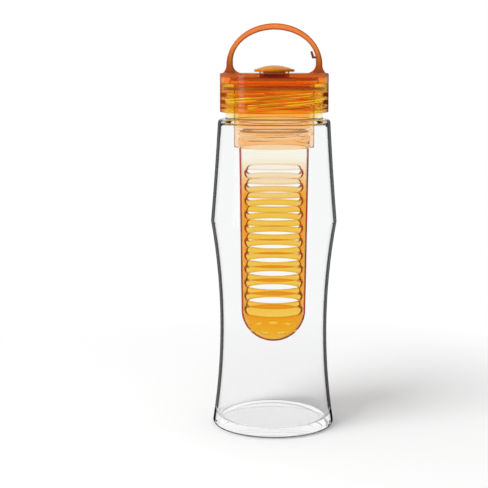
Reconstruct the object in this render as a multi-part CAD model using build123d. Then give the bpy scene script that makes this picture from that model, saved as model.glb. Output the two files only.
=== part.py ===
from build123d import *
import math
import os

# Fruit infuser water bottle. Millimetres, +Z up, the foot stands on Z = 0 and the bottle's axis is the Z axis.
# The front, with the slots facing it, looks along -Y, and the carry loop spans X.

# Clear bottle
foot_r = 40.0
foot_round = 1.6
foot_ring_width = 4.5
waist_r = 34.8
waist_z = 65.5
ridge_r = 40.7
ridge_z = 134.5
ridge_round = 4.0
shoulder_z = 200.0
shoulder_overhang = 1.2
shoulder_round = 2.4
shoulder_hollow = 0.25
body_wall = 2.0
shoulder_wall = 2.4
base_wall = 3.4
punt_rise = 5.0
floor_round = 4.0
neck_r = 30.6
neck_wall = 2.4
neck_height = 18.6
rim_round = 0.6
collar_width = 0.7
collar_height = 3.6
collar_round = 0.4

# Screw thread of the lid
lid_lead = 13.5
lid_starts = 3
lid_thread_depth = 1.4
lid_thread_root = 2.4
lid_thread_crest = 1.0
lid_thread_lift = 6.3
lid_thread_top_gap = 2.58
thread_bite = 0.3
thread_gap = 0.4

# Lid ring and its seal
lid_wall = 2.3
lid_lift = 0.8
lid_flange = 2.2
lid_edge_round = 0.6
seam_round = 0.4
gasket_height = 1.8
gasket_inset = 0.1

# Deck
deck_thickness = 2.6
deck_round = 1.2
deck_rim_wall = 2.5
press_ring_width = 3.0
press_ring_height = 0.8
press_ring_inset = 0.6

# Carry loop
loop_height = 31.0
loop_thickness = 3.9
loop_inset = 4.3
loop_leg = 4.0
loop_foot_inset = 2.1
loop_spring = 4.8
loop_inner_spring = 7.4
loop_corner = 5.5
loop_top_depth = 7.0
loop_foot_depth = 12.0
loop_round = 1.1

# Hook inside the loop
hook_thickness = 1.3
hook_depth = 3.2
hook_height = 4.6
hook_lean = 1.2
hook_reach = 2.4
hook_above_deck = 9.0

# Sleeve that carries the basket
sleeve_neck_gap = 2.4
sleeve_wall = 2.4
sleeve_drop = 18.0
sleeve_hole_gap = 0.2
sleeve_flange_width = 2.8
sleeve_flange = 1.8
sleeve_seal_height = 1.4
sleeve_round = 0.4
ledge_height = 1.5
ledge_inset = 0.2

# Screw thread of the basket
basket_lead = 4.2
basket_thread_depth = 1.1
basket_thread_gap = 0.4
basket_thread_root = 2.0
basket_thread_crest = 0.8
basket_thread_turns = 1.25
sleeve_thread_turns = 1.0
plain_neck_turns = 0.5
basket_thread_lift = 2.8

# Infuser basket
basket_neck_wall = 1.5
basket_shoulder = 0.5
basket_shoulder_step = 0.3
basket_step_gap = 0.3
basket_taper = 1.5
basket_wall = 1.6
dome_flattening = 1.7
dome_z = 74.0
slot_pitch = 8.9
slot_height = 5.0
slot_side = 3.3
slot_lift = 3.2
slot_top_gap = 15.0
drain_count = 9
drain_width = 5.6
drain_height = 1.5
drain_rise = 8.2
basket_ring_height = 1.4

# Drinking spout and its seal
spout_r = 9.6
spout_wall = 1.9
spout_rise = 1.2
spout_hole_gap = 0.1
spout_flange_width = 2.4
spout_flange = 1.4
spout_seal_height = 0.8
spout_round = 0.5

# Flip cap, its plug and its hinge
cap_rim_width = 2.05
cap_gap = 0.7
cap_flange = 1.6
cap_lip_width = 1.3
cap_lip_round = 0.4
dome_rise = 2.4
cap_wall = 1.2
cap_cavity_gap = 1.3
plug_gap = 0.35
plug_taper = 1.05
plug_length = 3.6
plug_round = 0.5
hinge_offset = 1.05
hinge_barrel_r = 1.5
barrel_half = 3.9
hinge_web = 1.2
ear_gap = 0.3
ear_width = 2.8
pin_r = 0.8
pin_clearance = 0.05
recess_gap = 0.35

# Radii that follow from the sizes above
punt_r = foot_r - foot_ring_width
neck_bore_r = neck_r - neck_wall
collar_r = neck_r + collar_width
skirt_bore_r = neck_r + lid_thread_depth + thread_gap
lid_r = skirt_bore_r + lid_wall
shoulder_r = lid_r + shoulder_overhang
sleeve_r = neck_bore_r - sleeve_neck_gap
sleeve_bore_r = sleeve_r - sleeve_wall
sleeve_flange_r = sleeve_r + sleeve_flange_width
press_outer_r = sleeve_flange_r - press_ring_inset
press_inner_r = press_outer_r - press_ring_width
basket_neck_r = sleeve_bore_r - basket_thread_gap - basket_thread_depth
basket_neck_bore_r = basket_neck_r - basket_neck_wall
basket_top_r = basket_neck_r + basket_shoulder
basket_low_r = basket_top_r - basket_taper
ledge_r = basket_neck_bore_r + ledge_inset
slot_width = 2 * (basket_low_r - slot_side)
dome_depth = basket_low_r - dome_flattening
loop_outer_half = lid_r - loop_inset
loop_inner_half = loop_outer_half - loop_leg
loop_foot_half = lid_r - loop_foot_inset
spout_bore_r = spout_r - spout_wall
spout_hole_r = spout_r + spout_hole_gap
spout_flange_r = spout_r + spout_flange_width
cap_cavity_r = spout_r + cap_cavity_gap
cap_r = cap_cavity_r + cap_rim_width
cap_dome_r = cap_r - cap_lip_width
plug_top_r = spout_bore_r - plug_gap
plug_tip_r = plug_top_r - plug_taper
hinge_y = cap_r + hinge_offset

# Heights that follow from the sizes above
rim_z = shoulder_z + neck_height
collar_top_z = shoulder_z + collar_height
lid_thread_turns = (neck_height - lid_thread_lift - lid_thread_top_gap) / lid_lead
skirt_low_z = collar_top_z + lid_lift
flange_low_z = rim_z + gasket_height
seam_z = flange_low_z + lid_flange
sleeve_top_z = seam_z + sleeve_flange
press_z = sleeve_top_z + sleeve_seal_height
deck_low_z = press_z + press_ring_height
deck_z = deck_low_z + deck_thickness
loop_top_z = deck_z + loop_height
sleeve_low_z = shoulder_z - sleeve_drop
step_z = sleeve_low_z - basket_step_gap
basket_thread_z = sleeve_low_z + basket_thread_lift
lowest_slot_z = dome_z + slot_lift
slot_count = 1 + int((step_z - slot_top_gap - lowest_slot_z) / slot_pitch)
drain_z = dome_z - dome_depth + drain_rise
spout_top_z = deck_z + spout_rise
spout_flange_top_z = deck_low_z - spout_seal_height
cap_low_z = deck_z + cap_gap
cap_flange_z = cap_low_z + cap_flange
hinge_z = spout_top_z
overrun = 10.0


def face_on(plane, *outline):
    """Face on a plane, bounded by lines and arcs that join into one closed outline."""
    return make_face([edge for line in outline for edge in (plane * line).edges()])


def profile(*outline):
    """Flat half section, to be turned. X is the radius and Y the height."""
    return Sketch() + face_on(Plane.XY, *outline)


def rounded(section, *corners):
    """Half section with corners rounded, each given as (radius, height, rounding)."""
    for at_r, at_z, rounding in corners:
        section = fillet(section.vertices().sort_by_distance((at_r, at_z))[0], rounding)
    return section


def turned(section):
    """Solid made by turning a half section round the bottle's axis."""
    return revolve(Plane.XZ * section, Axis.Z)


def turned_points(points, rounds):
    """Turned solid whose half section has straight sides and a rounding at each corner."""
    return turned(profile(FilletPolyline(*points, radius=rounds, close=True)))


def ball_through(rim_r, rim_z, crown_z):
    """Centre height and radius of the ball on the axis that carries a dome's rim and its crown."""
    rise = crown_z - rim_z
    radius = (rim_r**2 + rise**2) / (2 * abs(rise))
    return crown_z - math.copysign(radius, rise), radius


def dome_arc(centre_z, radius, rim_r, side):
    """Arc of a ball on the axis from its point at rim_r to its crown. side is 1 for the top, -1 for the bottom."""

    def point(at_r):
        """Point of the ball's section at a distance from the axis."""
        return at_r, centre_z + side * math.sqrt(radius**2 - at_r**2)

    return ThreePointArc(point(rim_r), point(rim_r / 2), point(0))


def ring(inner_r, outer_r, low_z, high_z):
    """Flat ring round the axis."""
    corners = [(inner_r, low_z), (outer_r, low_z), (outer_r, high_z), (inner_r, high_z)]
    return turned(profile(Polyline(*corners, close=True)))


def thread_ridge(wall_r, crest_r, root_width, crest_width, lead, turns, low_z, start_angle):
    """One right-handed ridge of a thread. Its root is sunk into the wall at wall_r by thread_bite."""
    outward = math.copysign(1, crest_r - wall_r)
    root_r = wall_r - outward * thread_bite
    helix = Helix(pitch=lead, height=lead * turns, radius=root_r)
    flank = (root_width - crest_width) / abs(crest_r - wall_r)
    sunk_width = root_width + flank * thread_bite
    corners = [
        (root_r, 0, -sunk_width / 2),
        (crest_r, 0, -crest_width / 2),
        (crest_r, 0, crest_width / 2),
        (root_r, 0, sunk_width / 2),
    ]
    section = Face(Wire.make_polygon([Vector(*corner) for corner in corners], close=True))
    ridge = sweep(section, path=helix, is_frenet=True)
    return ridge.moved(Location((0, 0, low_z), (0, 0, start_angle)))


def lid_thread(wall_r, crest_r, low_z, turns):
    """All the starts of the lid's thread, on the neck or in the lid."""
    return [
        thread_ridge(
            wall_r,
            crest_r,
            lid_thread_root,
            lid_thread_crest,
            lid_lead,
            turns,
            low_z,
            start * 360 / lid_starts,
        )
        for start in range(lid_starts)
    ]


def body_outline(inset, low_z, top_z):
    """Profile of the bottle below its neck, drawn in by inset: foot, waist, ridge and shoulder."""
    ridge = (ridge_r - inset, ridge_z)
    shoulder = (shoulder_r - inset, top_z)
    foot = (foot_r - inset, low_z)
    middle = ((ridge[0] + shoulder[0]) / 2 - shoulder_hollow, (ridge[1] + shoulder[1]) / 2)
    return [
        Line((0, low_z), foot),
        ThreePointArc(foot, (waist_r - inset, waist_z), ridge),
        ThreePointArc(ridge, middle, shoulder),
        Line(shoulder, (0, top_z)),
        Line((0, top_z), (0, low_z)),
    ]


def make_bottle_body():
    """Clear bottle with a hollow body, a punt under its foot and a screw neck that stands on a collar."""
    cavity_top_z = shoulder_z - shoulder_wall
    outer = rounded(
        profile(*body_outline(0, 0, shoulder_z)),
        (ridge_r, ridge_z, ridge_round),
        (shoulder_r, shoulder_z, shoulder_round),
        (foot_r, 0, foot_round),
    )
    punt = dome_arc(*ball_through(punt_r, 0, punt_rise), punt_r, 1)
    outer -= profile(punt, Polyline((0, punt_rise), (0, 0), (punt_r, 0)))
    floor_r = foot_r - body_wall
    crown_z = base_wall + punt_rise
    floor = dome_arc(*ball_through(floor_r, base_wall, crown_z), floor_r, 1)
    below_floor = profile(
        floor,
        Polyline((0, crown_z), (0, -overrun), (floor_r, -overrun), (floor_r, base_wall)),
    )
    cavity = profile(*body_outline(body_wall, 0, cavity_top_z)) - below_floor
    cavity = rounded(
        cavity,
        (floor_r, base_wall, floor_round),
        (shoulder_r - body_wall, cavity_top_z, shoulder_round),
    )
    neck = profile(
        Polyline(
            (0, cavity_top_z),
            (collar_r, cavity_top_z),
            (collar_r, collar_top_z),
            (neck_r, collar_top_z),
            (neck_r, rim_z),
            (0, rim_z),
            close=True,
        )
    )
    neck = rounded(neck, (neck_r, rim_z, rim_round), (collar_r, collar_top_z, collar_round))
    bore = profile(
        Polyline(
            (0, shoulder_z - overrun),
            (neck_bore_r, shoulder_z - overrun),
            (neck_bore_r, rim_z + overrun),
            (0, rim_z + overrun),
            close=True,
        )
    )
    body = turned(outer + neck - cavity - bore)
    crest_r = neck_r + lid_thread_depth
    for ridge in lid_thread(neck_r, crest_r, shoulder_z + lid_thread_lift, lid_thread_turns):
        body += ridge
    return body


def make_mouth_gasket():
    """Flat ring between the neck's rim and the lid."""
    inner_r = neck_bore_r + gasket_inset
    return ring(inner_r, skirt_bore_r - 2 * gasket_inset, rim_z, flange_low_z)


def make_lid_skirt():
    """Threaded ring of the lid, closed at its top by a flange that sits on the gasket."""
    hole_r = sleeve_r + sleeve_hole_gap
    skirt = turned_points(
        [
            (skirt_bore_r, skirt_low_z),
            (lid_r, skirt_low_z),
            (lid_r, seam_z),
            (hole_r, seam_z),
            (hole_r, flange_low_z),
            (skirt_bore_r, flange_low_z),
        ],
        [seam_round, lid_edge_round, seam_round, 0, 0, 0],
    )
    pitch = lid_lead / lid_starts
    low_z = shoulder_z + lid_thread_lift + pitch / 2
    crest_r = skirt_bore_r - lid_thread_depth
    turns = lid_thread_turns - pitch / lid_lead / 2
    for ridge in lid_thread(skirt_bore_r, crest_r, low_z, turns):
        skirt += ridge
    return skirt


def half_ellipse(centre_height, half_width, rise):
    """Upper half of an ellipse round a point of the axis."""
    return EllipticalCenterArc((0, centre_height), half_width, rise, start_angle=0, arc_size=180)


def make_carry_loop():
    """Arch over the deck: thin at its top, wider and deeper at its feet."""
    inner_top = loop_height - loop_thickness
    foot_z = deck_low_z
    spring_z = deck_z + loop_spring
    inner_spring_z = deck_z + loop_inner_spring
    outer_arc = half_ellipse(spring_z, loop_outer_half, loop_height - loop_spring)
    right, left = (loop_outer_half, spring_z), (-loop_outer_half, spring_z)
    right_foot, left_foot = (loop_foot_half, deck_z), (-loop_foot_half, deck_z)
    outer = face_on(
        Plane.XZ,
        outer_arc,
        TangentArc(right, right_foot, tangent=(0, -1)),
        TangentArc(left, left_foot, tangent=(0, -1)),
        Polyline(right_foot, (loop_foot_half, foot_z), (-loop_foot_half, foot_z), left_foot),
    )
    inner_arc = half_ellipse(inner_spring_z, loop_inner_half, inner_top - loop_inner_spring)
    low_corners = FilletPolyline(
        (-loop_inner_half, inner_spring_z),
        (-loop_inner_half, deck_z),
        (loop_inner_half, deck_z),
        (loop_inner_half, inner_spring_z),
        radius=[loop_corner, loop_corner],
    )
    gap = face_on(Plane.XZ, inner_arc, low_corners)
    arch = extrude(outer, amount=loop_foot_depth, both=True)
    side = face_on(
        Plane.YZ,
        Polyline(
            (-loop_foot_depth / 2, foot_z),
            (loop_foot_depth / 2, foot_z),
            (loop_top_depth / 2, loop_top_z),
            (-loop_top_depth / 2, loop_top_z),
            close=True,
        ),
    )
    arch &= extrude(side, amount=lid_r, both=True)
    arch -= extrude(gap, amount=loop_foot_depth, both=True)
    long_edges = [
        edge
        for edge in arch.edges()
        if edge.center().Z > deck_z and abs(edge.center().Y) > loop_top_depth / 4
    ]
    return fillet(long_edges, loop_round)


def make_lid_top():
    """Deck with its rim wall, the ring that presses on the sleeve's seal, hinge ears and carry loop."""
    rim_inner_r = lid_r - deck_rim_wall
    deck = turned_points(
        [
            (spout_hole_r, deck_z),
            (lid_r, deck_z),
            (lid_r, seam_z),
            (rim_inner_r, seam_z),
            (rim_inner_r, deck_low_z),
            (press_outer_r, deck_low_z),
            (press_outer_r, press_z),
            (press_inner_r, press_z),
            (press_inner_r, deck_low_z),
            (spout_hole_r, deck_low_z),
        ],
        [0, deck_round, seam_round, 0, 0, 0, 0, 0, 0, 0],
    )
    deck += make_carry_loop() - Pos(0, 0, deck_low_z) * Cylinder(spout_hole_r, overrun)
    recess_r = hinge_barrel_r + recess_gap
    ear_start = barrel_half + ear_gap
    ear_end = ear_start + ear_width
    deck -= barrel_shape(recess_r, -ear_start, ear_start)
    for side in (-1, 1):
        low_x, high_x = sorted((side * ear_start, side * ear_end))
        ear = barrel_shape(hinge_barrel_r, low_x, high_x)
        stem = Pos((low_x + high_x) / 2, hinge_y, hinge_z) * Box(
            ear_width,
            2 * hinge_barrel_r,
            hinge_z - deck_low_z,
            align=(Align.CENTER, Align.CENTER, Align.MAX),
        )
        deck += ear + stem
    deck -= barrel_shape(pin_r, -ear_end, ear_end)
    return deck


def barrel_shape(radius, low_x, high_x):
    """Cylinder on the flip cap's hinge axis, from low_x to high_x."""
    cylinder = Cylinder(radius, high_x - low_x, align=(Align.CENTER, Align.CENTER, Align.MIN))
    return Pos(low_x, hinge_y, hinge_z) * Rot(0, 90, 0) * cylinder


def make_loop_hook():
    """Small hook on the inside of the loop's right leg, open upwards."""
    low_z = deck_z + hook_above_deck
    top_z = low_z + hook_height
    inside_x = loop_inner_half - hook_reach
    wall_x = loop_inner_half + loop_thickness / 2
    hook = face_on(
        Plane.XZ,
        FilletPolyline(
            (wall_x, low_z),
            (inside_x, low_z),
            (inside_x - hook_lean, top_z),
            (inside_x - hook_lean + hook_thickness, top_z),
            (inside_x + hook_thickness, low_z + hook_thickness),
            (wall_x, low_z + hook_thickness),
            radius=[0] + [hook_thickness / 3] * 4 + [0],
            close=True,
        ),
    )
    hook = extrude(hook, amount=hook_depth / 2, both=True)
    return hook - make_carry_loop()


def make_infuser_sleeve():
    """Sleeve that hangs from the lid's flange, with a ledge and a thread for the basket."""
    ledge_z = step_z + basket_neck_height() + basket_ring_height
    sleeve = turned_points(
        [
            (sleeve_bore_r, sleeve_low_z),
            (sleeve_r, sleeve_low_z),
            (sleeve_r, seam_z),
            (sleeve_flange_r, seam_z),
            (sleeve_flange_r, sleeve_top_z),
            (sleeve_bore_r, sleeve_top_z),
            (sleeve_bore_r, ledge_z + ledge_height),
            (ledge_r, ledge_z + ledge_height),
            (ledge_r, ledge_z),
            (sleeve_bore_r, ledge_z),
        ],
        [0, sleeve_round, 0, 0, 0, sleeve_round, 0, 0, 0, 0],
    )
    return sleeve + thread_ridge(
        sleeve_bore_r,
        sleeve_bore_r - basket_thread_depth,
        basket_thread_root,
        basket_thread_crest,
        basket_lead,
        sleeve_thread_turns,
        basket_thread_z + basket_lead / 2,
        0,
    )


def basket_neck_height():
    """Height of the basket's neck: its thread and the plain stretch above it."""
    return basket_thread_lift + basket_lead * (basket_thread_turns + plain_neck_turns)


def make_sleeve_seal():
    """Flat ring between the sleeve's flange and the deck's pressing ring."""
    return ring(press_inner_r, press_outer_r, sleeve_top_z, press_z)


def make_infuser_ring():
    """Ring on the basket's rim, against the ledge in the sleeve."""
    low_z = step_z + basket_neck_height()
    return ring(basket_neck_bore_r, basket_neck_r, low_z, low_z + basket_ring_height)


def basket_section(inset, neck_inset, high_z):
    """Half section of the basket's tapered tube, neck and domed bottom, drawn in by its insets."""
    centre_z, ball_r = ball_through(basket_low_r, dome_z, dome_z - dome_depth)
    inset_share = inset / ball_r
    low_r = basket_low_r * (1 - inset_share)
    low_z = dome_z + (centre_z - dome_z) * inset_share
    return profile(
        dome_arc(centre_z, ball_r - inset, low_r, -1),
        Polyline(
            (low_r, low_z),
            (basket_top_r - inset, step_z),
            (basket_neck_r - neck_inset, step_z + basket_shoulder_step),
            (basket_neck_r - neck_inset, high_z),
            (0, high_z),
            (0, centre_z - ball_r + inset),
        ),
    )


def make_infuser_basket():
    """Tapered tube with wide slots front and back, a domed bottom with drain slits and a threaded neck."""
    rim = step_z + basket_neck_height()
    inside = basket_section(basket_wall, basket_neck_wall, rim + overrun)
    basket = turned(basket_section(0, 0, rim) - inside)
    slot = extrude(Plane.XZ * SlotOverall(slot_width, slot_height), amount=basket_top_r + overrun, both=True)
    for row in range(slot_count):
        basket -= Pos(0, 0, lowest_slot_z + row * slot_pitch) * slot
    drain = extrude(Plane.XZ * SlotOverall(drain_width, drain_height), amount=basket_top_r + overrun)
    drain_start = basket_low_r / 2
    for index in range(drain_count):
        angle = (index + 1 / 2) * 360 / drain_count
        basket -= Rot(0, 0, angle) * Pos(0, -drain_start, drain_z) * drain
    return basket + thread_ridge(
        basket_neck_r,
        basket_neck_r + basket_thread_depth,
        basket_thread_root,
        basket_thread_crest,
        basket_lead,
        basket_thread_turns,
        basket_thread_z,
        0,
    )


def make_drink_spout():
    """Mouthpiece insert: a short tube through the deck, held by a flange below it."""
    flange_low = spout_flange_top_z - spout_flange
    return turned_points(
        [
            (spout_bore_r, flange_low),
            (spout_flange_r, flange_low),
            (spout_flange_r, spout_flange_top_z),
            (spout_r, spout_flange_top_z),
            (spout_r, spout_top_z),
            (spout_bore_r, spout_top_z),
        ],
        [spout_round, 0, 0, 0, spout_round, spout_round],
    )


def make_spout_seal():
    """Flat ring between the spout's flange and the deck."""
    return ring(spout_hole_r, spout_flange_r, spout_flange_top_z, deck_low_z)


def cap_arc(inset, rim_r):
    """Arc of the flip cap's dome, drawn in by inset, from rim_r to its crown."""
    centre_z, ball_r = ball_through(cap_dome_r, cap_flange_z, cap_flange_z + dome_rise)
    return dome_arc(centre_z, ball_r - inset, rim_r, 1)


def make_flip_cap():
    """Domed cap over the spout, with a lip all round and a barrel on the hinge axis."""
    outer_arc = cap_arc(0, cap_dome_r)
    cavity_arc = cap_arc(cap_wall, cap_cavity_r)
    shell = profile(
        outer_arc,
        Line(outer_arc @ 1, cavity_arc @ 1),
        cavity_arc,
        Polyline(
            cavity_arc @ 0,
            (cap_cavity_r, cap_low_z),
            (cap_r, cap_low_z),
            (cap_r, cap_flange_z),
            (cap_dome_r, cap_flange_z),
        ),
    )
    lip_corners = [(cap_r, cap_low_z, cap_lip_round), (cap_r, cap_flange_z, cap_lip_round)]
    shell = turned(rounded(shell, *lip_corners))
    web = Pos(0, hinge_y, cap_low_z) * Box(
        2 * barrel_half,
        hinge_y - cap_cavity_r,
        hinge_web,
        align=(Align.CENTER, Align.MAX, Align.MIN),
    )
    shell += web + barrel_shape(hinge_barrel_r, -barrel_half, barrel_half)
    return shell - barrel_shape(pin_r + pin_clearance, -barrel_half, barrel_half)


def make_cap_plug():
    """Soft plug that fills the flip cap's dome and closes the spout with a tapered stem."""
    cavity_arc = cap_arc(cap_wall, cap_cavity_r)
    tip_z = spout_top_z - plug_length
    plug = profile(
        cavity_arc,
        Polyline(
            cavity_arc @ 1,
            (0, tip_z),
            (plug_tip_r, tip_z),
            (plug_top_r, spout_top_z),
            (cap_cavity_r, spout_top_z),
            cavity_arc @ 0,
        ),
    )
    return turned(rounded(plug, (plug_tip_r, tip_z, plug_round)))


def make_hinge_pin():
    """Pin through the flip cap's barrel and the ears of the deck."""
    end_x = barrel_half + ear_gap + ear_width
    pin = barrel_shape(pin_r, -end_x, end_x)
    return chamfer(pin.edges().filter_by(GeomType.CIRCLE), pin_r / 4)


pieces = {
    "bottle_body": make_bottle_body,
    "mouth_gasket": make_mouth_gasket,
    "lid_skirt": make_lid_skirt,
    "lid_top": make_lid_top,
    "loop_hook": make_loop_hook,
    "infuser_sleeve": make_infuser_sleeve,
    "sleeve_seal": make_sleeve_seal,
    "infuser_ring": make_infuser_ring,
    "infuser_basket": make_infuser_basket,
    "drink_spout": make_drink_spout,
    "spout_seal": make_spout_seal,
    "flip_cap": make_flip_cap,
    "cap_plug": make_cap_plug,
    "hinge_pin": make_hinge_pin,
}

os.makedirs("parts", exist_ok=True)
for node, make_piece in pieces.items():
    export_step(make_piece(), f"parts/{node}.step")
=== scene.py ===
"""Finishes, studio and camera for a clear fruit infuser bottle with an amber screw lid.

Lengths are in metres.
"""

import logging
import math
from dataclasses import dataclass
from enum import Enum
from typing import Any, Mapping, Optional, Sequence, Union

import bpy
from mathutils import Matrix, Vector


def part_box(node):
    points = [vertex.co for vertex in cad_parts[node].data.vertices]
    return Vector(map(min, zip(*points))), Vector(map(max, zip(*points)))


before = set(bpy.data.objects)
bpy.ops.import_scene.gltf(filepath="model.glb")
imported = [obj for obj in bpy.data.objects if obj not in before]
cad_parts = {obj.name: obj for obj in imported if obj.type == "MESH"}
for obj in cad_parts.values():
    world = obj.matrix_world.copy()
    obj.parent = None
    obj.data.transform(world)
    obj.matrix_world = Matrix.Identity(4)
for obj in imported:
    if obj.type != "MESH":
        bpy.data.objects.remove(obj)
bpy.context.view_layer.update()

log = logging.getLogger("infuser_bottle")

Colour = tuple[float, float, float]
WHITE: Colour = (1.0, 1.0, 1.0)
MM_PER_M = 1000

# Light that has gone no further than this has only crossed between two faces that touch.
TOUCHING = 0.00001

# A face belongs to a round wall from this cosine between it and the way out, and fully so
# when the cosine has grown by the fade.
OUTWARD_START = 0.3
OUTWARD_FADE = 0.4

# The value about which a noise varies.
NOISE_MIDDLE = 0.5

# Light crosses up to a dozen walls, with a reflection at each.
MOST_BOUNCES = 32


def opaque(colour: Colour) -> tuple[float, float, float, float]:
    """A colour with full alpha, as a colour socket takes it."""
    return (*colour, 1.0)


class Signal:
    """An output socket, wrapped so that shader maths reads as a plain expression."""

    def __init__(self, sheet: "NodeSheet", socket: bpy.types.NodeSocket) -> None:
        """Keeps the socket and the sheet that it is on."""
        self.sheet = sheet
        self.socket = socket

    def _math(self, operation: str, first: "Value", second: "Value") -> "Signal":
        """Adds a Math node to the sheet.

        Args:
            operation: the node's operation.
            first: what the first input gets.
            second: what the second input gets.

        Returns:
            The node's value.
        """
        return self.sheet.signal("Math", {"operation": operation}, {0: first, 1: second})

    def __add__(self, other: "Value") -> "Signal":
        """This value plus another."""
        return self._math("ADD", self, other)

    def __radd__(self, other: "Value") -> "Signal":
        """Another value plus this one."""
        return self._math("ADD", other, self)

    def __sub__(self, other: "Value") -> "Signal":
        """This value less another."""
        return self._math("SUBTRACT", self, other)

    def __rsub__(self, other: "Value") -> "Signal":
        """Another value less this one."""
        return self._math("SUBTRACT", other, self)

    def __mul__(self, other: "Value") -> "Signal":
        """This value times another."""
        return self._math("MULTIPLY", self, other)

    def __rmul__(self, other: "Value") -> "Signal":
        """Another value times this one."""
        return self._math("MULTIPLY", other, self)

    def __truediv__(self, other: "Value") -> "Signal":
        """This value divided by another."""
        return self._math("DIVIDE", self, other)

    def __rtruediv__(self, other: "Value") -> "Signal":
        """Another value divided by this one."""
        return self._math("DIVIDE", other, self)

    def __pow__(self, other: "Value") -> "Signal":
        """This value to the power of another."""
        return self._math("POWER", self, other)

    def __rpow__(self, other: "Value") -> "Signal":
        """Another value to the power of this one."""
        return self._math("POWER", other, self)

    def __abs__(self) -> "Signal":
        """This value without its sign."""
        return self.sheet.signal("Math", {"operation": "ABSOLUTE"}, {0: self})

    def clamped(self) -> "Signal":
        """This value, held between nought and one."""
        return self.sheet.signal("Clamp", {}, {"Value": self})


Value = Union[Signal, float, Sequence[float]]


class Blend(Enum):
    """How one colour is laid over another."""

    MIX = "MIX"
    MULTIPLY = "MULTIPLY"


class Side(Enum):
    """Face of a round wall, and the side from which light meets it."""

    OUTER = "outer face, met from outside"
    INNER = "inner face, met from within the wall"
    ANY = "any face, met from anywhere"


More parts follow.
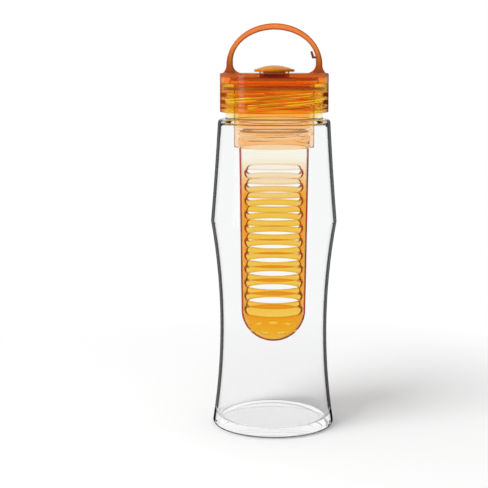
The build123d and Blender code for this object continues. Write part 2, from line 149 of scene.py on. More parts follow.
class NodeSheet:
    """A cleared node tree and the nodes that are put on it."""

    def __init__(self, tree: bpy.types.NodeTree) -> None:
        """Clears the tree."""
        tree.nodes.clear()
        self.tree = tree

    def add(
        self,
        kind: str,
        settings: Mapping[str, Any],
        sockets: Mapping[Union[int, str], Value],
    ) -> bpy.types.Node:
        """Adds one node.

        Args:
            kind: the node's type, without its ShaderNode prefix.
            settings: the node's properties, set first. A ramp's "stops" are pairs of a
                position and a colour.
            sockets: a value or a signal for each input that isn't left as it is.

        Returns:
            The node.
        """
        node = self.tree.nodes.new("ShaderNode" + kind)
        for name, setting in settings.items():
            if name == "stops":
                self._set_stops(node.color_ramp, setting)
            else:
                setattr(node, name, setting)
        for name, value in sockets.items():
            if isinstance(value, Signal):
                self.tree.links.new(value.socket, node.inputs[name])
            else:
                node.inputs[name].default_value = value
        return node

    def signal(
        self,
        kind: str,
        settings: Mapping[str, Any],
        sockets: Mapping[Union[int, str], Value],
        output: Union[int, str] = 0,
    ) -> Signal:
        """Adds one node and wraps one of its outputs.

        Args:
            kind: the node's type, without its ShaderNode prefix.
            settings: the node's properties.
            sockets: values or signals for its inputs.
            output: the output that is wanted.

        Returns:
            That output.
        """
        return Signal(self, self.add(kind, settings, sockets).outputs[output])

    def light_path(self, *outputs: str) -> tuple[Signal, ...]:
        """Adds a Light Path node.

        Args:
            outputs: the outputs that are wanted.

        Returns:
            Those outputs, in the same order.
        """
        path = self.add("LightPath", {}, {})
        return tuple(Signal(self, path.outputs[output]) for output in outputs)

    @staticmethod
    def _set_stops(ramp: bpy.types.ColorRamp, stops: Sequence[tuple[float, Colour]]) -> None:
        """Gives a ramp its stops.

        Args:
            ramp: a new ramp, which has two stops.
            stops: position and colour of each stop, at least two.
        """
        for _ in stops[2:]:
            ramp.elements.new(0.5)
        for element, (position, colour) in zip(ramp.elements, stops):
            element.position = position
            element.color = opaque(colour)

    def place(self) -> Signal:
        """Object coordinates, which have the bottle's axis at their middle."""
        return self.signal("TexCoord", {}, {}, "Object")

    def normal(self) -> Signal:
        """The way a face points, towards the side from which it is met."""
        return self.signal("TexCoord", {}, {}, "Normal")

    def part(self, vector: Signal, axis: str) -> Signal:
        """One of a vector's three numbers."""
        return self.signal("SeparateXYZ", {}, {0: vector}, axis)

    def wrapped(self, value: Signal, pitch: float) -> Signal:
        """Folds a value into half a pitch either side of nought."""
        return self.signal("Math", {"operation": "WRAP"}, {0: value, 1: pitch / 2, 2: -pitch / 2})

    def band(self, value: Signal, middle: float, width: float, fade: float) -> Signal:
        """Tells where a value lies in a band.

        Args:
            value: what is tested.
            middle: the band's middle.
            width: the band's whole width.
            fade: how far the share takes to grow, inwards from either side of the band.

        Returns:
            One well inside the band, and nought outside it.
        """
        return ((width / 2 - abs(value - middle)) / fade).clamped()

    def height_share(self, place: Signal, low_z: float, high_z: float) -> Signal:
        """Where a point lies between two heights.

        Args:
            place: object coordinates.
            low_z: height that gives nought.
            high_z: height that gives one.

        Returns:
            The share, held between nought and one.
        """
        return ((self.part(place, "Z") - low_z) / (high_z - low_z)).clamped()

    def tint_at(self, place: Signal, heights: Sequence[float], tints: Sequence[Colour]) -> Signal:
        """Gives each height its tint.

        Args:
            place: object coordinates.
            heights: heights of the tints, lowest first.
            tints: colour at each height.

        Returns:
            The colour.
        """
        low_z, high_z = heights[0], heights[-1]
        stops = [
            ((height - low_z) / (high_z - low_z), tint) for height, tint in zip(heights, tints)
        ]
        share = self.height_share(place, low_z, high_z)
        return self.signal("ValToRGB", {"stops": stops}, {0: share})

    def blended(
        self, share: Value, first: Value, second: Value, blend: Blend = Blend.MIX
    ) -> Signal:
        """Lays one colour over another.

        Args:
            share: how much of the second colour is used.
            first: colour at a share of nought.
            second: colour that is laid over it.
            blend: how it is laid over.

        Returns:
            The blended colour.
        """
        settings = {"data_type": "RGBA", "blend_type": blend.value}
        return self.signal("Mix", settings, {0: share, 6: first, 7: second}, 2)

    def noise(self, place: Signal, grain: float, detail: float = 2.0) -> Signal:
        """Adds a soft noise.

        Args:
            place: coordinates that the noise lies on.
            grain: size of one bump.
            detail: how much finer noise is laid over it.

        Returns:
            The noise, from nought to one.
        """
        return self.signal("TexNoise", {}, {"Vector": place, "Scale": 1 / grain, "Detail": detail})

    def streaks(
        self, place: Signal, length: float, stretch: float, contrast: float = 5.0
    ) -> Signal:
        """Adds a noise of flat streaks that run round the bottle.

        Args:
            place: coordinates that the streaks lie on.
            length: length of one streak.
            stretch: how many times longer than tall it is.
            contrast: how clear its edges are.

        Returns:
            The streaks, from nought to one.
        """
        squeeze = (1.0, 1.0, stretch)
        squeezed = self.signal("VectorMath", {"operation": "MULTIPLY"}, {0: place, 1: squeeze})
        soft = self.noise(squeezed, length, detail=3.0)
        return ((soft - NOISE_MIDDLE) * contrast + NOISE_MIDDLE).clamped()

    def bump(self, height: Signal, depth: float, strength: float = 1.0) -> Signal:
        """Adds a bump.

        Args:
            height: the surface's height, from nought to one.
            depth: distance that a height of one stands for.
            strength: how much of the bump is used.

        Returns:
            The bumped normal.
        """
        sockets = {"Strength": strength, "Distance": depth, "Height": height}
        return self.signal("Bump", {}, sockets, "Normal")

    def mixed(self, share: Signal, first: Signal, second: Signal) -> Signal:
        """Mixes two shaders by the share of the second."""
        return self.signal("MixShader", {}, {0: share, 1: first, 2: second})

    def diffuse(self, colour: Colour) -> Signal:
        """Adds a plain matt shader of one colour."""
        return self.signal("BsdfDiffuse", {}, {"Color": opaque(colour)})

    def edge_on(self, start: float, end: float) -> Signal:
        """Tells how nearly edge-on a face is met.

        Args:
            start: facing that gives nought, where nought is face-on and one is edge-on.
            end: facing that gives one.

        Returns:
            The share, held between nought and one.
        """
        facing = self.signal("LayerWeight", {}, {}, "Facing")
        return ((facing - start) / (end - start)).clamped()

    def wall_share(self, place: Signal, side: Side = Side.OUTER, dome_z: float = 0.0) -> Signal:
        """Tells one face of a round wall from the other and from flat faces.

        The normal points towards the side from which a face is met, so the wall's inner face,
        met from within the wall, points outwards too.

        Args:
            place: object coordinates.
            side: the face that is wanted, which isn't Side.ANY.
            dome_z: middle of the dome that closes the wall's lower end, if it has one.

        Returns:
            One on that face, falling to nought as the wall turns flat.
        """
        drop = self.signal(
            "Math", {"operation": "MINIMUM"}, {0: self.part(place, "Z") - dome_z, 1: 0.0}
        )
        away = self.signal(
            "CombineXYZ", {}, {0: self.part(place, "X"), 1: self.part(place, "Y"), 2: drop}
        )
        outward = self.signal("VectorMath", {"operation": "NORMALIZE"}, {0: away})
        along = self.signal(
            "VectorMath", {"operation": "DOT_PRODUCT"}, {0: self.normal(), 1: outward}, "Value"
        )
        from_within = self.signal("NewGeometry", {}, {}, "Backfacing")
        met = from_within if side is Side.INNER else 1 - from_within
        return ((along - OUTWARD_START) / OUTWARD_FADE).clamped() * met

    def open_where_touching(self, surface: Signal) -> Signal:
        """Lets light straight through a face where it has only just left a face against it.

        Args:
            surface: the piece's own shader.

        Returns:
            The shader. Without this, light is caught between two faces that touch, and they
            turn black.
        """
        glossy, through, length = self.light_path(
            "Is Glossy Ray", "Is Transmission Ray", "Ray Length"
        )
        just_left = self.signal("Math", {"operation": "LESS_THAN"}, {0: length, 1: TOUCHING})
        gap = self.signal("BsdfTransparent", {}, {})
        return self.mixed((glossy + through).clamped() * just_left, surface, gap)


def start_material(name: str) -> tuple[bpy.types.Material, NodeSheet, Signal]:
    """Starts a material.

    Args:
        name: the material's name.

    Returns:
        The material, its sheet of nodes, and object coordinates on that sheet.
    """
    made = bpy.data.materials.new(name)
    made.use_nodes = True
    sheet = NodeSheet(made.node_tree)
    return made, sheet, sheet.place()


class Polish(Enum):
    """How the mould left a plastic surface: its roughness and how much that varies."""

    MIRROR = (0.015, 0.02)
    GLOSS = (0.06, 0.05)


@dataclass(frozen=True)
class PaintedEdgeShade:
    """Painted shade: a dark outline where a wall is met nearly edge-on."""

    start: float
    end: float
    depth: float = 1.0
    side: Side = Side.OUTER
    low_z: float = 0.0
    high_z: float = 1.0
    fade: float = 0.0008
    dome_z: float = 0.0

    def share(self, sheet: NodeSheet, place: Signal) -> Signal:
        """Tells where the tone shows.

        Args:
            sheet: where the nodes are added.
            place: object coordinates.

        Returns:
            The share of the painted shade.
        """
        edge_on = sheet.edge_on(self.start, self.end) * self.depth
        if self.side is not Side.ANY:
            edge_on = edge_on * sheet.wall_share(place, self.side, self.dome_z)
        above = sheet.height_share(place, self.low_z, self.low_z + self.fade)
        below = 1 - sheet.height_share(place, self.high_z - self.fade, self.high_z)
        return edge_on * above * below


@dataclass(frozen=True)
class PaintedShadeBand:
    """Painted shade: a dark ring round the outside, at a corner of the wall."""

    low_z: float
    high_z: float
    depth: float
    fade: float = 0.00025

    def share(self, sheet: NodeSheet, place: Signal) -> Signal:
        """Tells where the ring is.

        Args:
            sheet: where the nodes are added.
            place: object coordinates.

        Returns:
            The share of the painted shade.
        """
        middle, width = (self.low_z + self.high_z) / 2, self.high_z - self.low_z
        ring = sheet.band(sheet.part(place, "Z"), middle, width, self.fade)
        return ring * sheet.wall_share(place) * self.depth


@dataclass(frozen=True)
class PaintedCornerShade:
    """Painted shade on the rounded corners between the flat faces and the rims of the carry loop.
    """

    low_z: float
    depth: float
    fade: float = 0.001

    def share(self, sheet: NodeSheet, place: Signal) -> Signal:
        """Tells where a corner is, by how its surface is turned.

        Args:
            sheet: where the nodes are added.
            place: object coordinates.

        Returns:
            The share of the painted shade.
        """
        flat = sheet.part(sheet.normal(), "Y") ** 2
        # This product is a quarter at most, half-way round a corner, so four times it is one.
        halfway = flat * (1 - flat) * 4
        above = sheet.height_share(place, self.low_z, self.low_z + self.fade)
        return halfway.clamped() * above * self.depth


@dataclass(frozen=True)
class PaintedFootShade:
    """Painted shade on the carry loop's foot, darkest where it meets the deck."""

    low_z: float
    high_z: float
    depth: float
    fade: float = 0.0004

    def share(self, sheet: NodeSheet, place: Signal) -> Signal:
        """Tells how dark the painted shade on the foot is.

        Args:
            sheet: where the nodes are added.
            place: object coordinates.

        Returns:
            The share of the painted shade.
        """
        above = sheet.height_share(place, self.low_z - self.fade, self.low_z)
        return (1 - sheet.height_share(place, self.low_z, self.high_z)) * above * self.depth


@dataclass(frozen=True)
class PaintedThreadShade:
    """Painted shade: dark marks where the turns of a screw thread lie near the outline."""

    start: float
    end: float
    depth: float
    pitch: float
    turn_height: float
    low_z: float
    high_z: float
    turn_fade: float = 0.0004
    run_out: float = 0.0005

    def share(self, sheet: NodeSheet, place: Signal) -> Signal:
        """Tells where the turns show.

        Args:
            sheet: where the nodes are added.
            place: object coordinates.

        Returns:
            The share of the painted shade.
        """
        height = sheet.part(place, "Z")
        uneven = (sheet.noise(place, self.turn_height * 2) - NOISE_MIDDLE) * self.turn_height
        lift = sheet.wrapped(height - self.low_z + uneven, self.pitch)
        turn = sheet.band(lift, 0.0, self.turn_height, self.turn_fade)
        middle, width = (self.low_z + self.high_z) / 2, self.high_z - self.low_z
        threaded = sheet.band(height, middle, width, self.run_out)
        near = sheet.edge_on(self.start, self.end)
        return near * turn * threaded * sheet.wall_share(place) * self.depth


@dataclass(frozen=True)
class PaintedSlotRimShade:
    """Painted shade on the cut rims of rows of wide slots with round ends, one above another."""

    round_x: float = 0.0151
    radius: float = 0.0025
    pitch: float = 0.0089
    lowest_z: float = 0.0772
    count: int = 11
    rim: float = 0.0009
    rim_fade: float = 1 / 6000
    side_share: float = 0.08
    depth: float = 0.8
    end_fade: float = 0.0001

    def share(self, sheet: NodeSheet, place: Signal) -> Signal:
        """Tells where the cut rim of a slot is, darkest at its round ends.

        Args:
            sheet: where the nodes are added.
            place: object coordinates.

        Returns:
            The share of the painted shade.
        """
        height = sheet.part(place, "Z")
        lift = sheet.wrapped(height - self.lowest_z, self.pitch)
        past = sheet.signal(
            "Math",
            {"operation": "MAXIMUM"},
            {0: abs(sheet.part(place, "X")) - self.round_x, 1: 0.0},
        )
        reach = (past**2 + lift**2) ** 0.5
        rim = sheet.band(
            reach, self.radius + self.rim / 2, self.rim + self.rim_fade, self.rim_fade
        )
        round_end = self.side_share + (past / self.radius) ** 2
        middle_z = self.lowest_z + (self.count - 1) * self.pitch / 2
        rows = sheet.band(height, middle_z, self.count * self.pitch, self.end_fade)
        return rim * round_end.clamped() * rows * self.depth


PaintedShadePlace = Union[PaintedEdgeShade, PaintedShadeBand, PaintedCornerShade, PaintedFootShade, PaintedThreadShade, PaintedSlotRimShade]


@dataclass(frozen=True)
class Cloud:
    """Milky colour that shows where the plastic is thick, above one height."""

    tone: Colour
    depth: float
    low_z: float
    fade: float

    def share(self, sheet: NodeSheet, place: Signal) -> Signal:
        """Tells how milky the plastic is.

        Args:
            sheet: where the nodes are added.
            place: object coordinates.

        Returns:
            The share of the milky tone.
        """
        return sheet.height_share(place, self.low_z, self.low_z + self.fade) * self.depth


@dataclass(frozen=True)
class TintedPlastic:
    """Moulded plastic that light goes through, with streaks from the mould and painted shade at
    its edges.
    """

    name: str
    tints: tuple[Colour, ...]
    # Painted shade: a dark matt tone, and the edges, rings, corners and rims where it stands in
    # for dark outlines and shadows.
    painted_shade_tone: Colour
    painted_shades: tuple[PaintedShadePlace, ...]
    refraction: float
    clarity: float = 1.0
    polish: Polish = Polish.MIRROR
    ripple_depth: float = 0.00002
    ripple_grain: float = 0.012
    speckles_per_ripple: float = 12.0
    speckle_detail: float = 4.0
    speckle_share: float = 0.04
    speckle_height: float = 0.05
    ripples_per_streak: float = 2.0
    streak_stretch: float = 14.0
    streak_height: float = 0.5
    streak_share: float = 0.0
    streak_tint: Colour = WHITE
    cloud: Optional[Cloud] = None

    def material(self, heights: Sequence[float]) -> bpy.types.Material:
        """Builds the finish.

        Args:
            heights: height of each tint, lowest first.

        Returns:
            The material.
        """
        made, sheet, place = start_material(self.name)
        ripple = sheet.noise(place, self.ripple_grain)
        speckle_grain = self.ripple_grain / self.speckles_per_ripple
        speckle = sheet.noise(place, speckle_grain, self.speckle_detail)
        streak_length = self.ripple_grain * self.ripples_per_streak
        streaks = sheet.streaks(place, streak_length, self.streak_stretch) * self.streak_share
        tint = sheet.tint_at(place, heights, self.tints)
        tint = sheet.blended(streaks, tint, opaque(self.streak_tint), Blend.MULTIPLY)
        speckled = speckle * self.speckle_share
        tint = sheet.blended(speckled, tint, opaque(self.tints[0]), Blend.MULTIPLY)
        roughness, spread = self.polish.value
        waves = ripple + speckle * self.speckle_height + streaks * self.streak_height
        plastic = sheet.signal(
            "BsdfPrincipled",
            {},
            {
                "Base Color": tint,
                "Roughness": roughness + spread * speckle,
                "IOR": self.refraction,
                "Transmission Weight": self.clarity,
                "Normal": sheet.bump(waves, self.ripple_depth),
            },
        )
        if self.cloud:
            milk = sheet.diffuse(self.cloud.tone)
            plastic = sheet.mixed(self.cloud.share(sheet, place), plastic, milk)
        # Painted shade: a dark matt tone is mixed in at the places that the piece lists.
        wall = sheet.mixed(self.painted_shade_share(sheet, place), plastic, sheet.diffuse(self.painted_shade_tone))
        sheet.add("OutputMaterial", {}, {"Surface": sheet.open_where_touching(wall)})
        return made

    def painted_shade_share(self, sheet: NodeSheet, place: Signal) -> Signal:
        """Tells where the painted shade shows.

        Args:
            sheet: where the nodes are added.
            place: object coordinates.

        Returns:
            The share of the painted shade.
        """
        first, *others = (part.share(sheet, place) for part in self.painted_shades)
        return sum(others, first).clamped()


@dataclass(frozen=True)
class MilkySilicone:
    """Soft, cloudy silicone with a fine mould grain."""

    name: str
    colour: Colour
    shade: Colour
    grain: float
    grain_depth: float
    grain_detail: float = 4.0
    grain_share: float = 0.4
    bump_strength: float = 0.6
    roughness: float = 0.42
    roughness_spread: float = 0.2
    refraction: float = 1.41
    clarity: float = 0.55

    def material(self, heights: Sequence[float]) -> bpy.types.Material:
        """Builds the finish.

        Args:
            heights: where the shade is strongest, and where the plain colour is reached.

        Returns:
            The material.
        """
        made, sheet, place = start_material(self.name)
        grain = sheet.noise(place, self.grain, self.grain_detail)
        lift = sheet.height_share(place, *heights)
        share = lift * (1 - self.grain_share) + grain * self.grain_share
        rubber = sheet.signal(
            "BsdfPrincipled",
            {},
            {
                "Base Color": sheet.blended(share, opaque(self.shade), opaque(self.colour)),
                "Roughness": self.roughness + grain * self.roughness_spread,
                "IOR": self.refraction,
                "Transmission Weight": self.clarity,
                "Normal": sheet.bump(grain, self.grain_depth, self.bump_strength),
            },
        )
        sheet.add("OutputMaterial", {}, {"Surface": sheet.open_where_touching(rubber)})
        return made


@dataclass(frozen=True)
class TurnedSteel:
    """Drawn pin wire with fine rings round it."""

    name: str
    colour: Colour
    # A darker tone towards the bottom of the pin.
    lower_tone: Colour
    ring_pitch: float
    ring_depth: float
    ring_wander: float = 0.6
    ring_share: float = 0.3
    bump_strength: float = 0.5
    roughness: float = 0.22
    roughness_spread: float = 0.15

    def material(self, heights: Sequence[float]) -> bpy.types.Material:
        """Builds the finish.

        Args:
            heights: where the lower tone, darker towards the bottom, is strongest, and where the
                plain colour is reached.

        Returns:
            The material.
        """
        made, sheet, place = start_material(self.name)
        rings = sheet.signal(
            "TexWave",
            {"bands_direction": "X"},
            {"Vector": place, "Scale": 1 / self.ring_pitch, "Distortion": self.ring_wander},
            "Fac",
        )
        lift = sheet.height_share(place, *heights)
        share = lift * (1 - self.ring_share) + rings * self.ring_share
        steel = sheet.signal(
            "BsdfPrincipled",
            {},
            {
                "Base Color": sheet.blended(share, opaque(self.lower_tone), opaque(self.colour)),
                "Metallic": 1.0,
                "Roughness": self.roughness + rings * self.roughness_spread,
                "Normal": sheet.bump(rings, self.ring_depth, self.bump_strength),
            },
        )
        sheet.add("OutputMaterial", {}, {"Surface": steel})
        return made


Finish = Union[TintedPlastic, MilkySilicone, TurnedSteel]

CLEAR_TINT: Colour = (0.965, 0.967, 0.97)
# Painted amber on the clear collar, for the lid seen in it.
COLLAR_PAINTED_LID_AMBER: Colour = (0.98, 0.87, 0.52)
SHOULDER_EDGE_Z = 0.2002

CLEAR_WALL = TintedPlastic(
    name="clear_wall",
    tints=(CLEAR_TINT, COLLAR_PAINTED_LID_AMBER, COLLAR_PAINTED_LID_AMBER, CLEAR_TINT),
    painted_shade_tone=(0.004, 0.005, 0.006),
    # Painted shade: dark outlines at the wall's edges, and dark rings at the foot and at the
    # shoulder.
    painted_shades=(
        PaintedEdgeShade(
            start=0.515,
            end=0.54,
            side=Side.INNER,
            low_z=0.0095,
            high_z=SHOULDER_EDGE_Z,
            fade=0.0015,
        ),
        PaintedEdgeShade(start=0.84, end=0.91, high_z=SHOULDER_EDGE_Z),
        PaintedEdgeShade(start=0.71, end=0.79, high_z=0.0115, fade=0.002),
        PaintedEdgeShade(start=0.56, end=0.78, depth=0.34, high_z=SHOULDER_EDGE_Z),
        PaintedShadeBand(low_z=0.0, high_z=0.0015, depth=0.8),
        PaintedShadeBand(low_z=0.2, high_z=0.2012, depth=0.6),
    ),
    refraction=1.13,
    ripple_grain=0.02,
)
AMBER_SKIRT = TintedPlastic(
    name="amber_skirt",
    tints=((0.94, 0.65, 0.02), (0.93, 0.64, 0.012), (0.88, 0.48, 0.006)),
    painted_shade_tone=(0.22, 0.024, 0.003),
    painted_shades=(
        PaintedEdgeShade(start=0.5, end=0.8, depth=0.85),
        PaintedThreadShade(
            start=0.48,
            end=0.62,
            depth=0.9,
            pitch=0.0045,
            turn_height=0.0027,
            low_z=0.2065,
            high_z=0.219,
        ),
    ),
    refraction=1.2,
    ripple_depth=0.00003,
    streak_share=0.8,
    streak_tint=(0.86, 0.54, 0.25),
)
RED_AMBER_TOP = TintedPlastic(
    name="red_amber_top",
    tints=(
        (0.98, 0.52, 0.04),
        (0.97, 0.48, 0.035),
        (0.55, 0.12, 0.01),
        (0.5, 0.1, 0.008),
        (0.62, 0.16, 0.015),
        (0.89, 0.4, 0.07),
    ),
    painted_shade_tone=(0.3, 0.035, 0.006),
    painted_shades=(
        PaintedEdgeShade(start=0.52, end=0.84, depth=0.8, high_z=0.23),
        PaintedCornerShade(low_z=0.231, depth=0.7),
        PaintedFootShade(low_z=0.2296, high_z=0.246, depth=0.45),
    ),
    refraction=1.2,
    ripple_depth=0.00003,
    streak_share=0.6,
    streak_tint=(0.95, 0.6, 0.4),
    cloud=Cloud(tone=(0.88, 0.24, 0.065), depth=0.6, low_z=0.234, fade=0.02),
)
DARK_HOOK = TintedPlastic(
    name="dark_hook",
    tints=((0.13, 0.013, 0.0), (0.23, 0.034, 0.003)),
    painted_shade_tone=(0.1, 0.01, 0.0),
    painted_shades=(PaintedEdgeShade(start=0.6, end=0.9, side=Side.ANY),),
    refraction=1.5,
    clarity=0.6,
    polish=Polish.GLOSS,
    ripple_depth=0.00001,
    ripple_grain=0.004,
)
SALMON_SLEEVE = TintedPlastic(
    name="salmon_sleeve",
    tints=((0.995, 0.76, 0.52), (1.0, 0.76, 0.52)),
    painted_shade_tone=(0.6, 0.3, 0.18),
    painted_shades=(PaintedEdgeShade(start=0.7, end=0.85, depth=0.8),),
    refraction=1.12,
    polish=Polish.GLOSS,
    ripple_grain=0.01,
    streak_share=0.3,
    streak_tint=(1.0, 0.86, 0.72),
)
ORANGE_BASKET = TintedPlastic(
    name="orange_basket",
    tints=((0.97, 0.72, 0.15), (0.945, 0.58, 0.07), (0.945, 0.59, 0.08), (1.0, 1.0, 0.96)),
    painted_shade_tone=(0.42, 0.04, 0.004),
    painted_shades=(PaintedEdgeShade(start=0.6, end=0.74, high_z=0.1825, dome_z=0.074), PaintedSlotRimShade()),
    refraction=1.12,
    ripple_grain=0.01,
    streak_share=0.15,
    streak_tint=(1.0, 0.85, 0.6),
)
CAP_AMBER = TintedPlastic(
    name="cap_amber",
    tints=((0.83, 0.27, 0.0), (0.91, 0.4, 0.003)),
    painted_shade_tone=(0.4, 0.09, 0.005),
    painted_shades=(PaintedEdgeShade(start=0.8, end=0.97, depth=0.6, side=Side.ANY),),
    refraction=1.15,
    clarity=0.4,
    polish=Polish.GLOSS,
    ripple_depth=0.00001,
    ripple_grain=0.006,
)
SOFT_SILICONE = MilkySilicone(
    name="soft_silicone",
    colour=(0.88, 0.85, 0.8),
    shade=(0.72, 0.68, 0.62),
    grain=0.0008,
    grain_depth=0.00002,
)
PIN_STEEL = TurnedSteel(
    name="pin_steel",
    colour=(0.62, 0.62, 0.64),
    lower_tone=(0.4, 0.38, 0.36),
    ring_pitch=0.0004,
    ring_depth=0.00001,
)


@dataclass
class SubAssembly:
    """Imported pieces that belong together."""

    def dress(self, node: str, finish: Finish, *heights: float) -> None:
        """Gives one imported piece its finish.

        Args:
            node: the piece's name.
            finish: what it is made of.
            heights: height of each of its tints. Without them, the tints run over the whole
                height of the piece.
        """
        low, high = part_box(node)
        made = finish.material(heights or (low.z, high.z))
        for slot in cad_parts[node].material_slots:
            slot.material = made
        log.info("%s: %s, %.1f mm tall", node, made.name, (high.z - low.z) * MM_PER_M)


@dataclass
class ClearBottle(SubAssembly):
    """Clear bottle, whose clear collar is painted amber for the lid seen in it, and the gasket on
    its rim.
    """

    shoulder_z: float = 0.2
    collar_top_z: float = 0.2042
    fade: float = 0.0006

    def build(self) -> None:
        """Dresses the bottle and its gasket."""
        clear_z, amber_z = self.shoulder_z - self.fade, self.shoulder_z + self.fade
        top_z = self.collar_top_z
        self.dress("bottle_body", CLEAR_WALL, clear_z, amber_z, top_z, top_z + self.fade)
        self.dress("mouth_gasket", SOFT_SILICONE)


@dataclass
class ScrewLid(SubAssembly):
    """Amber screw ring under a redder top with its carry loop and hook."""

    low_z: float = 0.2044
    neck_z: float = 0.2165
    neck_top_z: float = 0.2195
    seam_z: float = 0.2226
    rim_z: float = 0.2262
    deck_low_z: float = 0.2268
    deck_z: float = 0.2292
    foot_z: float = 0.2302
    loop_z: float = 0.249

    def build(self) -> None:
        """Dresses the lid."""
        self.dress("lid_skirt", AMBER_SKIRT, self.low_z, self.neck_z, self.neck_top_z)
        heights = (
            self.seam_z,
            self.rim_z,
            self.deck_low_z,
            self.deck_z,
            self.foot_z,
            self.loop_z,
        )
        self.dress("lid_top", RED_AMBER_TOP, *heights)
        self.dress("loop_hook", DARK_HOOK)


@dataclass
class Infuser(SubAssembly):
    """Slotted basket that screws into a sleeve under the lid, with their seals."""

    dome_z: float = 0.056
    slots_z: float = 0.074
    amber_z: float = 0.15
    pale_z: float = 0.175

    def build(self) -> None:
        """Dresses the sleeve, the basket and their seals."""
        self.dress("infuser_sleeve", SALMON_SLEEVE)
        self.dress("sleeve_seal", SOFT_SILICONE)
        self.dress("infuser_ring", SOFT_SILICONE)
        heights = (self.dome_z, self.slots_z, self.amber_z, self.pale_z)
        self.dress("infuser_basket", ORANGE_BASKET, *heights)


@dataclass
class DrinkCap(SubAssembly):
    """Spout in the deck and the flip cap that closes it."""

    cap_low_z: float = 0.2299
    cap_high_z: float = 0.2345

    def build(self) -> None:
        """Dresses the spout, its seal, the cap, its plug and its pin."""
        self.dress("drink_spout", SALMON_SLEEVE)
        self.dress("spout_seal", SOFT_SILICONE)
        self.dress("flip_cap", CAP_AMBER, self.cap_low_z, self.cap_high_z)
        self.dress("cap_plug", SOFT_SILICONE)
        self.dress("hinge_pin", PIN_STEEL)


@dataclass(frozen=True)
class SoftLamp:
    """A soft rectangular lamp that looks at a point on the bottle's axis."""

    name: str
    azimuth: float
    elevation: float
    distance: float
    width: float
    height: float
    power: float
    aim_z: float = 0.13

    def build(self) -> None:
        """Adds the lamp, which doesn't show as a spot through the bottle's plastic."""
        turn, tilt = math.radians(self.azimuth), math.radians(self.elevation)
        aside, ahead = math.sin(turn) * math.cos(tilt), -math.cos(turn) * math.cos(tilt)
        away = Vector((aside, ahead, math.sin(tilt)))
        light = bpy.data.lights.new(self.name, "AREA")
        light.shape = "RECTANGLE"
        light.size = self.width
        light.size_y = self.height
        light.energy = self.power
        lamp = bpy.data.objects.new(self.name, light)
        lamp.location = Vector((0, 0, self.aim_z)) + away * self.distance
        lamp.rotation_euler = away.to_track_quat("Z", "Y").to_euler()
        lamp.visible_transmission = False
        bpy.context.scene.collection.objects.link(lamp)
        log.info("%s: %.2f m away", self.name, self.distance)


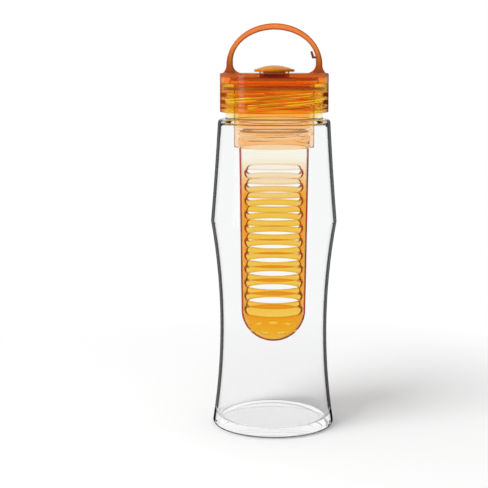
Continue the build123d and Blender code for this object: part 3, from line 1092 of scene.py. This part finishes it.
@dataclass
class Studio:
    """White floor that runs into a white backdrop, with soft lamps."""

    floor_half: float = 6.0
    floor_gap: float = 0.0004
    floor_tone: float = 0.93
    lit_share: float = 0.06
    # Painted light: a glowing patch on the floor under the bottle, for light that comes through
    # it.
    painted_light_r: float = 0.036
    painted_light_fade: float = 0.004
    painted_light_share: float = 0.62
    fade_start: float = 0.1
    fade_end: float = 0.34
    fill: float = 0.62
    mirrored: float = 0.8
    lamps: tuple[SoftLamp, ...] = (
        SoftLamp(
            "key_lamp", azimuth=-48, elevation=38, distance=1.5, width=0.8, height=0.8, power=16
        ),
        SoftLamp(
            "side_strip", azimuth=-72, elevation=6, distance=1.1, width=0.3, height=0.7, power=4
        ),
    )

    @staticmethod
    def seen_rays(sheet: NodeSheet) -> tuple[Signal, Signal]:
        """Tells rays that show the surroundings from those that mirror them or only light things.

        Args:
            sheet: where the nodes are added.

        Returns:
            One for a ray to the camera or through clear plastic, and one for a mirrored ray.
        """
        camera, glossy, through = sheet.light_path(
            "Is Camera Ray", "Is Glossy Ray", "Is Transmission Ray"
        )
        seen = (camera + through).clamped()
        return seen, (1 - seen) * glossy

    def build_world(self) -> None:
        """Lights the scene evenly, and shows white to the camera and through what is clear."""
        world = bpy.data.worlds.new("white_studio")
        bpy.context.scene.world = world
        world.use_nodes = True
        sheet = NodeSheet(world.node_tree)
        seen, glossy = self.seen_rays(sheet)
        strength = seen + glossy * self.mirrored + (1 - seen - glossy) * self.fill
        light = sheet.signal("Background", {}, {"Color": opaque(WHITE), "Strength": strength})
        sheet.add("OutputWorld", {}, {"Surface": light})

    def floor_material(self) -> bpy.types.Material:
        """Makes matt white paper that keeps the bottle's shadow, has painted light under the
        bottle, and fades into plain white.

        Returns:
            The material.
        """
        made, sheet, place = start_material("white_floor")
        reach = sheet.signal("VectorMath", {"operation": "LENGTH"}, {0: place}, "Value")
        far = ((reach - self.fade_start) / (self.fade_end - self.fade_start)).clamped()
        # Painted light: the floor glows under the bottle, for light that comes through it.
        under = ((self.painted_light_r - reach) / self.painted_light_fade).clamped() * self.painted_light_share
        seen, glossy = self.seen_rays(sheet)
        share = (far + under + self.lit_share).clamped() * (seen + glossy)
        paper = sheet.diffuse((self.floor_tone, self.floor_tone, self.floor_tone))
        plain = sheet.signal("Emission", {}, {"Color": opaque(WHITE), "Strength": 1.0})
        sheet.add("OutputMaterial", {}, {"Surface": sheet.mixed(share, paper, plain)})
        return made

    def build_floor(self) -> None:
        """Adds the floor, a hair below the foot."""
        bpy.ops.object.select_all(action="DESELECT")
        bpy.ops.mesh.primitive_plane_add(
            size=2 * self.floor_half, location=(0, 0, -self.floor_gap)
        )
        floor = bpy.context.object
        floor.name = "studio_floor"
        floor.data.materials.append(self.floor_material())
        log.info("%s: %.0f m across", floor.name, 2 * self.floor_half)

    def build(self) -> None:
        """Builds the world, the floor and the lamps."""
        self.build_world()
        self.build_floor()
        for lamp in self.lamps:
            lamp.build()


@dataclass(frozen=True)
class PhotoCamera:
    """Camera at the viewing angle of the photograph."""

    distance: float = 0.7602
    height: float = 0.2351
    down: float = 8.7
    left: float = 1.456
    focal: float = 87.05
    sensor: float = 36.0
    nearest: float = 0.01

    def build(self) -> None:
        """Adds the camera and makes it the scene's own."""
        optics = bpy.data.cameras.new("photo_camera")
        optics.lens = self.focal
        optics.sensor_width = self.sensor
        optics.clip_start = self.nearest
        camera = bpy.data.objects.new("photo_camera", optics)
        camera.location = (0, -self.distance, self.height)
        camera.rotation_euler = (math.radians(90 - self.down), 0, math.radians(self.left))
        bpy.context.scene.collection.objects.link(camera)
        bpy.context.scene.camera = camera
        log.info("%s: %.2f m away", camera.name, self.distance)


def set_light_paths() -> None:
    """Lets light go through every wall of the bottle, and shows colours as they are written."""
    scene = bpy.context.scene
    scene.view_settings.view_transform = "Standard"
    scene.cycles.max_bounces = MOST_BOUNCES
    scene.cycles.transmission_bounces = MOST_BOUNCES
    scene.cycles.transparent_max_bounces = MOST_BOUNCES
    scene.cycles.glossy_bounces = MOST_BOUNCES


def main() -> None:
    """Builds the scene and notes the height of each piece as it is dressed."""
    logging.basicConfig(level=logging.INFO, format="%(name)s %(message)s")
    for assembly in (ClearBottle(), ScrewLid(), Infuser(), DrinkCap()):
        assembly.build()
    Studio().build()
    PhotoCamera().build()
    set_light_paths()


if __name__ == "__main__":
    main()
